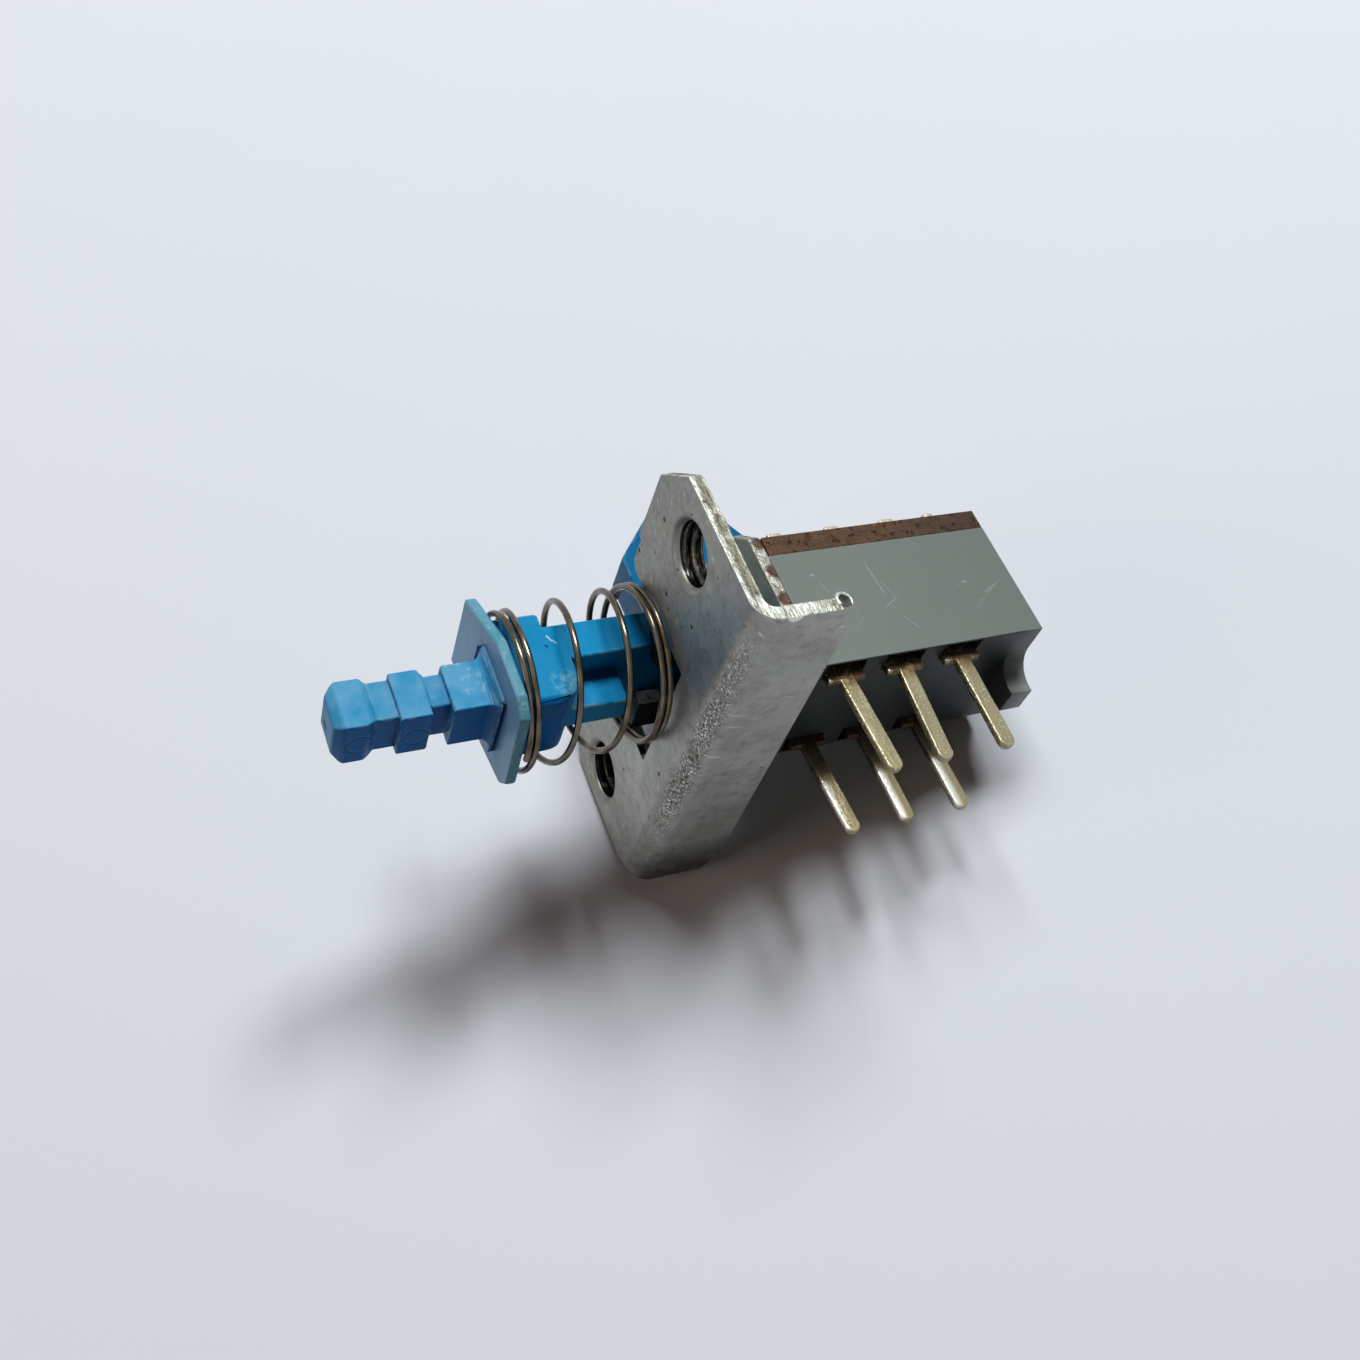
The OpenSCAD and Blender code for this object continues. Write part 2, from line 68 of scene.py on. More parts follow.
MOUTH_ROUND = 0.2
COLLAR_RADIUS = 1.7
COLLAR_LONGER = 0.1
COLLAR_LIP = 0.23
SLACK = 0.02  # how far off a corner may lie and still count as on the thread's core
BURR_CENTRE, BURR_GAP = (3.6, -9.78, -4.58), 0.27
SLOT_CORNER = (0.05, 3.1, -1.8)
PLATE_PITS = [(-6.93, 2.23), (-4.14, 3.07), (-4.65, 0.4), (-5.35, -1.77), (2.17, -3.58)]


def linear(code):
    """An sRGB hex colour as linear RGBA."""
    parts = [int(code[i : i + 2], 16) / 255 for i in (1, 3, 5)]
    return [p / 12.92 if p <= 0.04045 else ((p + 0.055) / 1.055) ** 2.4 for p in parts] + [1]


def add(tree, kind, inputs=None, **settings):
    """Adds a node. Each input takes a value, a socket, or a node, whose live output is used."""
    made = tree.nodes.new(kind)
    for name, value in settings.items():
        setattr(made, name, value)
    for key, value in (inputs or {}).items():
        if isinstance(key, str):
            socket = next(s for s in made.inputs if s.name == key and s.enabled)
        else:
            socket = made.inputs[key]
        if isinstance(value, bpy.types.Node):
            value = next(s for s in value.outputs if s.enabled)
        if isinstance(value, bpy.types.NodeSocket):
            tree.links.new(value, socket)
        else:
            socket.default_value = value
    return made


def finish(name, sockets):
    """A material with its constant values set on the shader: (material, tree, shader, place)."""
    made = bpy.data.materials.new(name)
    made.use_nodes = True
    tree = made.node_tree
    shader = tree.nodes["Principled BSDF"]
    for socket, value in sockets.items():
        shader.inputs[socket].default_value = value
    return made, tree, shader, add(tree, "ShaderNodeTexCoord").outputs["Object"]


def clouds(tree, place, size, low=0.35, high=0.65, detail=4, stretch=(1, 1, 1), turn=(0, 0, 0)):
    """Soft patches about this many millimetres across, spread from 0 to 1."""
    laid = add(tree, "ShaderNodeMapping", {"Vector": place, "Rotation": turn})
    scale = [s / (size * MM) for s in stretch]
    sized = add(tree, "ShaderNodeMapping", {"Vector": laid, "Scale": scale})
    patch = add(tree, "ShaderNodeTexNoise", {"Vector": sized, "Scale": 1, "Detail": detail})
    return add(tree, "ShaderNodeMapRange", {
        "Value": patch.outputs[0], "From Min": low, "From Max": high})


def specks(tree, place, spacing, reach, share):
    """Round specks: this share of the cells, set about this many millimetres apart, hold one."""
    sized = add(tree, "ShaderNodeMapping", {"Vector": place, "Scale": [1 / (spacing * MM)] * 3})
    cells = add(tree, "ShaderNodeTexVoronoi", {"Vector": sized, "Scale": 1})
    speck = add(tree, "ShaderNodeMapRange", {
        "Value": cells.outputs["Distance"],
        "From Min": reach / spacing, "From Max": 0.5 * reach / spacing})
    drawn = add(tree, "ShaderNodeSeparateColor", {"Color": cells.outputs["Color"]})
    chosen = add(tree, "ShaderNodeMath", {0: drawn.outputs[0], 1: share}, operation="LESS_THAN")
    return add(tree, "ShaderNodeMath", {0: speck, 1: chosen}, operation="MULTIPLY")


def dot(tree, place, centre, radius, core=0.5):
    """1 inside a ball and 0 outside it, in millimetres. The core is a share of the radius."""
    gap = add(tree, "ShaderNodeVectorMath", {0: place, 1: Vector(centre) * MM},
              operation="DISTANCE")
    return add(tree, "ShaderNodeMapRange", {
        "Value": gap.outputs["Value"], "From Min": radius * MM, "From Max": core * radius * MM})


def along(tree, place, axis, start, end):
    """Goes from 0 to 1 between two places along an axis, given in millimetres."""
    part = add(tree, "ShaderNodeSeparateXYZ", {"Vector": place}).outputs["XYZ".index(axis)]
    return add(tree, "ShaderNodeMapRange", {
        "Value": part, "From Min": start * MM, "From Max": end * MM})


def both(tree, *masks):
    """Where every mask is."""
    joined = masks[0]
    for mask in masks[1:]:
        joined = add(tree, "ShaderNodeMath", {0: joined, 1: mask}, operation="MULTIPLY")
    return joined


def either(tree, *masks):
    """Where any mask is."""
    joined = masks[0]
    for mask in masks[1:]:
        joined = add(tree, "ShaderNodeMath", {0: joined, 1: mask}, operation="MAXIMUM")
    return joined


def coloured(tree, base, *layers):
    """A base colour under (mask, strength, colour) layers. Colours are hex."""
    shown = linear(base)
    for mask, strength, colour in layers:
        share = add(tree, "ShaderNodeMath", {0: mask, 1: strength}, operation="MULTIPLY")
        shown = add(tree, "ShaderNodeMix", {"Factor": share, "A": shown, "B": linear(colour)},
                    data_type="RGBA")
    return shown


def relief(tree, shader, *heights):
    """Bumps a surface by (pattern, height in millimetres) pairs."""
    normal = None
    for pattern, height in heights:
        made = add(tree, "ShaderNodeBump", {"Height": pattern, "Distance": abs(height) * MM},
                   invert=height < 0)
        if normal:
            tree.links.new(normal.outputs[0], made.inputs["Normal"])
        normal = made
    tree.links.new(normal.outputs[0], shader.inputs["Normal"])


def feed(tree, shader, **patterns):
    """Links patterns to the shader's sockets."""
    for socket, pattern in patterns.items():
        live = next(s for s in pattern.outputs if s.enabled)
        tree.links.new(live, shader.inputs[socket.replace("_", " ")])


def worn_edges(tree, place, reach, cover):
    """Edges within this many millimetres, broken up so that about this share of them shows."""
    rounded = add(tree, "ShaderNodeBevel", {"Radius": reach * MM}, samples=4)
    flat = add(tree, "ShaderNodeNewGeometry")
    turn = add(tree, "ShaderNodeVectorMath", {0: rounded, 1: flat.outputs["True Normal"]},
               operation="DOT_PRODUCT")
    edge = add(tree, "ShaderNodeMapRange", {
        "Value": turn.outputs["Value"], "From Min": 0.985, "From Max": 0.86})
    return both(tree, edge, clouds(tree, place, 0.4, 0.62 - cover * 0.4, 0.75 - cover * 0.4, 5))


def merged_copy(node, name, *materials):
    """A copy of a CAD node as one closed mesh with flat faces joined, which stands for the node."""
    form = bmesh.new()
    form.from_mesh(nodes[node].data)
    bmesh.ops.remove_doubles(form, verts=form.verts, dist=0.001 * MM)
    bmesh.ops.dissolve_limit(form, angle_limit=radians(1.5), verts=form.verts, edges=form.edges)
    mesh = bpy.data.meshes.new(name)
    form.to_mesh(mesh)
    form.free()
    mesh.shade_smooth()
    for material in materials:
        mesh.materials.append(material)
    piece = bpy.data.objects.new(name, mesh)
    bpy.context.scene.collection.objects.link(piece)
    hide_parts(node)
    return piece


def softened(piece, width, steps=2, which="ANGLE"):
    """Rounds the sharp or the weighted edges by this many millimetres, and bakes the mesh."""
    bevel = piece.modifiers.new("edge", "BEVEL")
    bevel.width, bevel.segments = width * MM, steps
    bevel.limit_method, bevel.angle_limit = which, radians(32)
    bevel.use_clamp_overlap = False
    even = piece.modifiers.new("even", "WEIGHTED_NORMAL")
    even.keep_sharp = True
    baked(piece)


def baked(piece):
    """Replaces the piece's mesh with what its modifiers make of it."""
    graph = bpy.context.evaluated_depsgraph_get()
    mesh = bpy.data.meshes.new_from_object(
        piece.evaluated_get(graph), preserve_all_data_layers=True, depsgraph=graph)
    piece.modifiers.clear()
    piece.data = mesh


def by_holes(tree, place, radius, core):
    """1 round each of the two holes. Sizes are as in dot."""
    return either(tree, *[dot(tree, place, (0, side * HOLE_Y, 0), radius, core)
                          for side in (-1, 1)])


zinc, tree, shader, place = finish("zinc plated steel", {"Metallic": 1.0, "Roughness": 0.46})
# Zinc leaves a dull grey skin with darker clouds a few millimetres wide, fine black pits and a few
# rubbed lines
broad = clouds(tree, place, 3.2, 0.3, 0.7)
# The upper part of the sheet is painted darker, as painted shade for the darker room it reflects
upper_reflection_shade = along(tree, place, "Z", -1.5, 2.5)
fine = clouds(tree, place, 0.3, 0.4, 0.7, 6)
pits = either(tree, specks(tree, place, 0.9, 0.09, 0.16), specks(tree, place, 0.5, 0.05, 0.1),
              *[dot(tree, place, (0, y, z), 0.13) for y, z in PLATE_PITS])
lines = clouds(tree, place, 0.9, 0.66, 0.72, 3, (0.12, 1, 3.5), (0.6, 0.2, 0.1))
# The outside of the fold is scuffed rough. Bright glints are painted on its grains, and painted
# shade darkens the hollows between them
ragged = clouds(tree, place, 0.6, 0.2, 0.8, 5)
round_fold = add(tree, "ShaderNodeVectorMath", {0: place, 1: (1, 0, -1)},
                 operation="DOT_PRODUCT").outputs["Value"]
drift = add(tree, "ShaderNodeMath", {0: ragged, 1: 0.5 * MM, 2: round_fold},
            operation="MULTIPLY_ADD")
upper = add(tree, "ShaderNodeMapRange", {
    "Value": drift, "From Min": 4.45 * MM, "From Max": 4.85 * MM})
lower = add(tree, "ShaderNodeMapRange", {
    "Value": drift, "From Min": 6.0 * MM, "From Max": 5.5 * MM})
scuff = both(tree, upper, lower, along(tree, place, "Y", -9.5, -4.0),
             along(tree, place, "Y", 6.8, 2.5))
grains = clouds(tree, place, 0.07, 0.4, 0.62, 3)
bright = both(tree, scuff, clouds(tree, place, 1.3, 0.3, 0.5, 4),
              clouds(tree, place, 0.07, 0.54, 0.6, 5, (1, 0.4, 1), (0.6, 0, 0)))
hollow_shade = both(tree, scuff, clouds(tree, place, 0.08, 0.49, 0.42, 4, (1, 0.6, 1), (0.5, 0, 0)))
# The round mouths of the two holes are painted darker as shade
mouth_shade = both(tree, along(tree, place, "X", 0.24, 0.1), by_holes(tree, place, 1.62, 0.85))
# A bright patch is painted below the near end of the cut, as the highlight of a small step that the
# shear left there
step_highlight = dot(tree, place, (1.45, -9.85, -5.0), 0.34, 0.75)
# Small clouds and blots lie all over. The skin is stained round the holes and grimy at the far end
mottle = clouds(tree, place, 0.9, 0.44, 0.6, 7)
blots = clouds(tree, place, 0.45, 0.6, 0.68, 6)
stained = both(tree, by_holes(tree, place, 3.2, 0.45), clouds(tree, place, 1.1, 0.4, 0.62, 5))
grime = both(tree, along(tree, place, "Y", 5.8, 8.4), along(tree, place, "Z", -4.4, -4.9),
             clouds(tree, place, 1.4, 0.1, 0.45, 5))
feed(tree, shader, Base_Color=coloured(
    tree, "#a8a8a2", (broad, 0.8, "#90908b"), (upper_reflection_shade, 0.5, "#6f6f6a"),
    (mottle, 0.45, "#7d7c73"), (blots, 0.35, "#62605a"), (fine, 0.35, "#b2b3ae"),
    (stained, 0.45, "#8d8570"), (lines, 0.6, "#cbccc7"), (grime, 0.85, "#46443d"),
    (pits, 0.92, "#1b1915"),
    (scuff, 0.35, "#87827a"), (hollow_shade, 0.85, "#3f3c38"), (bright, 0.95, "#f0f0ec"),
    (step_highlight, 0.9, "#e9ebe3"), (mouth_shade, 0.45, "#5f5f59")))
feed(tree, shader, Roughness=add(tree, "ShaderNodeMapRange", {
    "Value": bright, "To Min": 0.47, "To Max": 0.3}))
relief(tree, shader, (fine, 0.006), (broad, 0.02), (pits, -0.03), (both(tree, scuff, grains), 0.04))

cut_steel, tree, shader, place = finish("sheared steel edge", {"Metallic": 0.85, "Roughness": 0.5})
# The punch side of the cut is burnished. Past it the metal tore, and has gone olive brown
streaks = clouds(tree, place, 0.3, 0.35, 0.65, 4, (1.5, 0.5, 0.5))
stain = clouds(tree, place, 0.9, 0.46, 0.6, 5)
torn = both(tree, along(tree, place, "X", 0.16, 0.3), along(tree, place, "X", 0.58, 0.48),
            clouds(tree, place, 0.8, 0.2, 0.45, 4, (0.4, 1, 1)))
shiny = both(tree, either(tree, along(tree, place, "X", 0.75, 0.95),
                          along(tree, place, "X", 0.17, 0.1)),
             clouds(tree, place, 0.7, 0.42, 0.6, 4))
# A bright spot at the fold's near corner is a painted highlight
corner_highlight = dot(tree, place, (0.62, -9.8, -4.3), 0.62, 0.3)
rust = both(tree, clouds(tree, place, 0.75, 0.56, 0.63, 4), clouds(tree, place, 0.2, 0.3, 0.5, 4))
upper_cut = along(tree, place, "Z", -3.5, 0.5)
# The burr's curl and the slot's far corner are painted black as the shade in their gaps
gap = either(tree, dot(tree, place, BURR_CENTRE, BURR_GAP, 0.8),
             dot(tree, place, SLOT_CORNER, 0.32, 0.7))
feed(tree, shader, Base_Color=coloured(
    tree, "#9fa094", (upper_cut, 0.6, "#d2d3c7"), (streaks, 0.4, "#85857a"),
    (stain, 0.5, "#67644f"), (torn, 0.8, "#55523b"), (shiny, 0.6, "#c6c8be"),
    (rust, 0.85, "#46352a"), (corner_highlight, 0.75, "#c9ccc3"), (gap, 1.0, "#0b0a09")))
relief(tree, shader, (streaks, 0.03), (clouds(tree, place, 0.15, 0.3, 0.7, 5), 0.02), (torn, -0.03))

thread_steel, tree, shader, place = finish(
    "tapped steel thread", {"Metallic": 1.0, "Roughness": 0.24})
# The tap leaves bright crests, and old oil and dust blacken the grooves. Most of the far hole is
# painted dark as shade
oil = clouds(tree, place, 0.5, 0.3, 0.6, 4)
far_hole_shade = along(tree, place, "Y", 0.0, 1.0)
feed(tree, shader, Base_Color=coloured(
    tree, "#77756c", (oil, 0.75, "#24221e"), (far_hole_shade, 0.85, "#1b1c18")))
relief(tree, shader, (oil, 0.01))

bracket = merged_copy("bracket", "bracket_sheet", zinc, cut_steel, thread_steel)
# The sheared sides, the slot's sides and the flange's rear end show bare steel
for face in bracket.data.polygons:
    spot, out = face.center / MM, face.normal
    from_hole = min((spot.yz - Vector((side * HOLE_Y, 0))).length for side in (-1, 1))
    side_cut = abs(out.y) > 0.3 or (out.z > 0.5 and spot.x < SHEET and spot.z > FOLD_TOP)
    rear_cut = out.x > 0.5 and spot.x > FLANGE_REAR
    if from_hole > COLLAR_RADIUS and (side_cut or rear_cut):
        face.material_index = 1
# The collars were pulled through from the front, so their mouths are round, and they run on behind,
# where the rim closes in a little
form = bmesh.new()
form.from_mesh(bracket.data)
mouth_edges = []
for side in (-1, 1):
    centre = Vector((side * HOLE_Y, 0)) * MM
    for v in form.verts:
        # Only the collar's rear end lies past 0.9 mm
        if (v.co.yz - centre).length < 2 * MM and v.co.x > 0.9 * MM:
            v.co.x += COLLAR_LONGER * MM
            if (v.co.yz - centre).length < (THREAD_CORE + SLACK) * MM:
                v.co.yz = centre + (v.co.yz - centre) * (1 - COLLAR_LIP / THREAD_CORE)
    mouth_edges += [e for e in form.edges
                    if all(abs((v.co.yz - centre).length / MM - THREAD_CORE) < SLACK
                           and v.co.x < 0.01 * MM for v in e.verts)]
bmesh.ops.bevel(form, geom=mouth_edges, offset=MOUTH_ROUND * MM, segments=5, profile=0.5,
                affect="EDGES", clamp_overlap=False)
form.to_mesh(bracket.data)
form.free()
bracket.data.shade_smooth()
softened(bracket, 0.06, 3)

# The collar walls are cut into rings and pushed out where the thread's grooves run
form = bmesh.new()
form.from_mesh(bracket.data)
for side in (-1, 1):
    centre = Vector((side * HOLE_Y, 0)) * MM
    # The edges that run the length of the collar's wall
    wall = [e for e in form.edges
            if all(-COLLAR_LIP - SLACK < (v.co.yz - centre).length / MM - THREAD_CORE < SLACK
                   for v in e.verts)
            and abs(e.verts[0].co.x - e.verts[1].co.x) > 0.4 * MM]
    bmesh.ops.subdivide_edges(form, edges=wall, cuts=WALL_RINGS - 1)
    for v in form.verts:
        radius = (v.co.yz - centre).length
        deep = (v.co.x / MM - THREAD_FROM) / (THREAD_TO - THREAD_FROM)
        if -COLLAR_LIP - SLACK < radius / MM - THREAD_CORE < SLACK and 0.01 < deep < 0.99:
            arm = (v.co.yz - centre) / radius
            turn = Vector((arm.x, arm.y)).angle_signed(Vector((1, 0))) / (2 * pi)
            phase = (v.co.x / MM / THREAD_PITCH + side * turn) % 1
            # A groove with sloped sides, which runs out at both ends of the thread
            groove = max(0, 1 - 2.4 * abs(phase - 0.5)) * min(1, 8 * deep, 8 * (1 - deep))
            v.co.yz = centre + arm * (radius + groove * THREAD_DEPTH * MM)
    for face in form.faces:
        spot = face.calc_center_median()
        in_bore = (spot.yz - centre).length < (THREAD_CORE + THREAD_DEPTH) * MM
        if in_bore and spot.x > MOUTH_ROUND * MM:
            face.material_index = 2
form.to_mesh(bracket.data)
form.free()
bracket.data.set_sharp_from_angle(angle=radians(40))
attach(bracket, "switch_body")

bright_steel, tree, shader, place = finish(
    "burnished steel sliver", {"Metallic": 1.0, "Roughness": 0.35})
# The shear rubbed this sliver bright on its outside
smears = clouds(tree, place, 0.2, 0.35, 0.65, 4)
feed(tree, shader, Base_Color=coloured(tree, "#d3d6cc", (smears, 0.5, "#9a9c8f")))
relief(tree, shader, (smears, 0.015))

# A sliver that the shear turned up at the flange's near rear corner, curled over a gap
CURL_START, CURL_SWEEP = -35, 250  # degrees
CURL_X, CURL_RISE, CURL_Z = 0.3, 0.08, 0.33
BURR_THICK, BURR_WIDE = 0.17, 0.13
BURR_RINGS, BURR_SIDES = 22, 8

burr_mesh = bpy.data.meshes.new("flange_burr")
form = bmesh.new()
previous = None
for i in range(BURR_RINGS + 1):
    share = i / BURR_RINGS
    sweep = radians(CURL_START + CURL_SWEEP * share)
    curl = Vector((-CURL_X * cos(sweep), CURL_RISE * share, CURL_Z * sin(sweep)))
    middle = Vector(BURR_CENTRE) + curl
    # It thins towards its tip, and is a little lumpy
    lump = noise.noise(Vector((share * 9, 0, 0)))
    thick = BURR_THICK * (1 - 0.7 * share**2) * (1 + 0.3 * lump)
    outward = Vector((-cos(sweep), 0, sin(sweep)))
    ring = []
    for k in range(BURR_SIDES):
        angle = 2 * pi * k / BURR_SIDES
        point = middle + outward * thick * 0.55 * cos(angle)
        point += Vector((0, 1, 0)) * BURR_WIDE * sin(angle) * (1 - 0.5 * share)
        ring.append(form.verts.new(point * MM))
    if previous:
        for k in range(BURR_SIDES):
            after = (k + 1) % BURR_SIDES
            form.faces.new((previous[k], previous[after], ring[after], ring[k]))
    else:
        form.faces.new(ring[::-1])
    previous = ring
form.faces.new(previous)
bmesh.ops.recalc_face_normals(form, faces=form.faces)
# Inside the curl a shallow dark disc is painted shade in the gap
shade_disc = bmesh.ops.create_circle(form, cap_ends=True, segments=14, radius=BURR_GAP * MM)["verts"]
bmesh.ops.rotate(form, verts=shade_disc, matrix=Matrix.Rotation(radians(90), 3, "X"))
bmesh.ops.translate(form, verts=shade_disc, vec=(Vector(BURR_CENTRE) + Vector((0, 0.06, 0))) * MM)
for face in shade_disc[0].link_faces:
    face.material_index = 1
    if face.normal.y > 0:
        face.normal_flip()
form.to_mesh(burr_mesh)
form.free()
burr_mesh.shade_smooth()
burr_mesh.materials.append(bright_steel)
burr_mesh.materials.append(thread_steel)
burr = bpy.data.objects.new("flange_burr", burr_mesh)
bpy.context.scene.collection.objects.link(burr)
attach(burr, "switch_body")


# ---------------------------------------------------------------- Body plate
# A second strip of 0.55 mm steel behind the bracket, bent forward in a wide curve and welded to it.
# It closes the front of the moulded body. Its sheared sides are bright with large brown rust spots.
NEAR_WALL = -3.25
RUST_SPOTS = [  # X, Z and radius on the near side
    (5.8, 1.8, 0.38), (5.72, 0.35, 0.42), (5.75, 3.3, 0.36), (5.3, -1.2, 0.3)]

rusty_edge, tree, shader, place = finish(
    "sheared steel edge with rust", {"Metallic": 0.8, "Roughness": 0.45})
# The cut is pale and chalky where the bare steel has dulled, and rust sits in round brown spots
chalk = clouds(tree, place, 0.35, 0.35, 0.6, 5)
spots = both(tree, either(tree, specks(tree, place, 0.95, 0.4, 0.5),
                          *[dot(tree, place, (x, NEAR_WALL, z), radius, 0.6)
                            for x, z, radius in RUST_SPOTS]),
             clouds(tree, place, 0.25, 0.2, 0.36, 4))
crumbs = clouds(tree, place, 0.25, 0.52, 0.6, 5)
feed(tree, shader, Base_Color=coloured(
    tree, "#949489", (chalk, 0.5, "#7c7a70"), (crumbs, 0.55, "#57493a"), (spots, 0.95, "#3f281c")))
relief(tree, shader, (chalk, 0.03), (spots, 0.05))

dull_zinc, tree, shader, place = finish(
    "dulled zinc plating", {"Metallic": 0.55, "Roughness": 0.62})
# Inside the bend the plating has gone matt and grey green
bloom = clouds(tree, place, 1.2, 0.35, 0.65, 5)
feed(tree, shader, Base_Color=coloured(tree, "#aaa993", (bloom, 0.6, "#8f907c")))
relief(tree, shader, (bloom, 0.01))

body_plate = merged_copy("body_plate", "body_plate_sheet", dull_zinc, rusty_edge)
# The sides, the upper edge and the front end were sheared
for face in body_plate.data.polygons:
    front_end = face.normal.x < -0.9 and face.center.x < 1.5 * MM
    if abs(face.normal.y) > 0.3 or face.normal.z > 0.9 or front_end:
        face.material_index = 1
softened(body_plate, 0.05)
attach(body_plate, "switch_body")


# ---------------------------------------------------------------- Housing
# One moulding in grey PBT: the body shell, two rails under the plunger, the latch post and the rear
# boss. Its sides are smooth and lightly scratched, and the terminal openings are dark brown.
SCRATCHES = [  # start and end on the near side, in X and Z, and width
    (10.13, 1.6, 10.32, -0.25, 0.045), (10.45, 0.5, 10.72, -0.4, 0.03),
    (10.6, -1.35, 11.05, -2.05, 0.04), (7.62, 0.95, 7.8, 0.3, 0.035),
    (7.4, 1.36, 7.5, 1.28, 0.07), (14.3, -0.1, 14.42, -0.2, 0.06), (9.2, 0.9, 9.25, 0.1, 0.02),
    (8.3, -0.2, 8.9, -1.1, 0.016), (13.2, -0.6, 13.9, -1.9, 0.014), (6.6, -0.6, 7.2, -1.7, 0.018),
    (6.3, 1.4, 6.9, 0.9, 0.016), (9.8, -2.3, 10.1, -2.9, 0.022)]


def scratch(tree, place, start, end, width):
    """1 along a straight scratch between two places, and 0 beside it. Sizes are in millimetres."""
    start, end = Vector(start) * MM, Vector(end) * MM
    run = end - start
    from_start = add(tree, "ShaderNodeVectorMath", {0: place, 1: start}, operation="SUBTRACT")
    share = add(tree, "ShaderNodeVectorMath", {0: from_start, 1: run / run.length_squared},
                operation="DOT_PRODUCT")
    held = add(tree, "ShaderNodeClamp", {"Value": share.outputs["Value"]})
    nearest = add(tree, "ShaderNodeVectorMath", {0: run, "Scale": held}, operation="SCALE")
    gap = add(tree, "ShaderNodeVectorMath", {0: from_start, 1: nearest}, operation="DISTANCE")
    return add(tree, "ShaderNodeMapRange", {
        "Value": gap.outputs["Value"], "From Min": width * MM, "From Max": 0.3 * width * MM})


pbt, tree, shader, place = finish("moulded grey PBT", {"IOR": 1.55, "Specular IOR Level": 0.2})
# Glass filled PBT is an almost even greenish grey, with a faint grain and white hair scratches
tone = clouds(tree, place, 4.5, 0.3, 0.7)
rearward = along(tree, place, "X", 9.0, 16.5)
grain = clouds(tree, place, 0.12, 0.4, 0.6, 3)
hairs = clouds(tree, place, 0.5, 0.71, 0.76, 2, (0.1, 1, 2.5), (0.3, 0.5, 0.2))
cuts = either(tree, *[scratch(tree, place, (x0, NEAR_WALL, z0), (x1, NEAR_WALL, z1), width)
                      for x0, z0, x1, z1, width in SCRATCHES])
cuts = both(tree, cuts, clouds(tree, place, 0.15, 0.35, 0.5, 3))
rubbed = worn_edges(tree, place, 0.1, 0.35)
# One rail's tip is painted near white, a mottled scuff with painted light on it. The boss is
# painted paler as light on it, and the underside is painted dark as shade
rail_tip_light = both(tree, dot(tree, place, (0.4, 1.28, -0.5), 0.75, 0.7),
            clouds(tree, place, 0.3, 0.3, 0.6, 5))
boss_light = along(tree, place, "Z", -3.3, -3.5)
underside_shade = both(tree, along(tree, place, "Z", -3.08, -3.13), along(tree, place, "X", 16.6, 15.6))
feed(tree, shader, Base_Color=coloured(
    tree, "#737a73", (tone, 0.5, "#69706b"), (rearward, 0.35, "#565d58"),
    (grain, 0.2, "#777e79"), (hairs, 0.35, "#a4aaa4"), (rubbed, 0.4, "#a3a9a2"),
    (boss_light, 0.5, "#a5aba5"), (rail_tip_light, 0.95, "#f0f2e8"), (cuts, 0.38, "#c2c7bf"),
    (underside_shade, 0.95, "#12171a")))
feed(tree, shader, Roughness=add(tree, "ShaderNodeMapRange", {
    "Value": tone, "To Min": 0.36, "To Max": 0.46}))
relief(tree, shader, (grain, 0.003), (tone, 0.02), (cuts, -0.02))

dark_openings, tree, shader, place = finish("dark brown PBT", {"Roughness": 0.35, "IOR": 1.5})
# The openings are dark brown and glossy, with lighter blotches
opening_blotches = clouds(tree, place, 0.4, 0.4, 0.6, 4)
feed(tree, shader, Base_Color=coloured(tree, "#1c1713", (opening_blotches, 0.6, "#3a2a1d")))
relief(tree, shader, (opening_blotches, 0.05))

rail_shade, tree, shader, place = finish(
    "PBT with painted rail shade", {"Roughness": 0.4, "IOR": 1.5, "Specular IOR Level": 0.06})
# The rails under the plunger are painted almost black as shade
rail_mottle = clouds(tree, place, 0.8, 0.35, 0.65, 4)
feed(tree, shader, Base_Color=coloured(tree, "#20262b", (rail_mottle, 0.5, "#0f1418")))
relief(tree, shader, (rail_mottle, 0.01))

housing = merged_copy("housing", "moulded_body", pbt, dark_openings, rail_shade)
shell_front, shell_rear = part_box("body_plate")[1].x / MM, 14.5
RAIL_TIP = 0.5
# The terminal openings are dark brown, and the rails are painted dark as shade from their tips back
for face in housing.data.polygons:
    spot = face.center / MM
    foremost = min(housing.data.vertices[v].co.x for v in face.vertices)
    in_side = 2.2 < abs(spot.y) < 3.24 and -3.14 < spot.z < -2.2
    if in_side and shell_front < spot.x < shell_rear:
        face.material_index = 1
    elif abs(face.normal.y) < 0.5 and foremost < RAIL_TIP * MM:
        face.material_index = 2
softened(housing, 0.035)
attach(housing, "switch_body")


# ---------------------------------------------------------------- Terminal board
# A strip of 1 mm paper laminate that lies on the open side of the body. Its faces are smooth brown
# and its sawn sides show torn paper layers with pale fibres.
laminate, tree, shader, place = finish(
    "sawn paper laminate", {"Roughness": 0.62, "IOR": 1.5, "Specular IOR Level": 0.2})
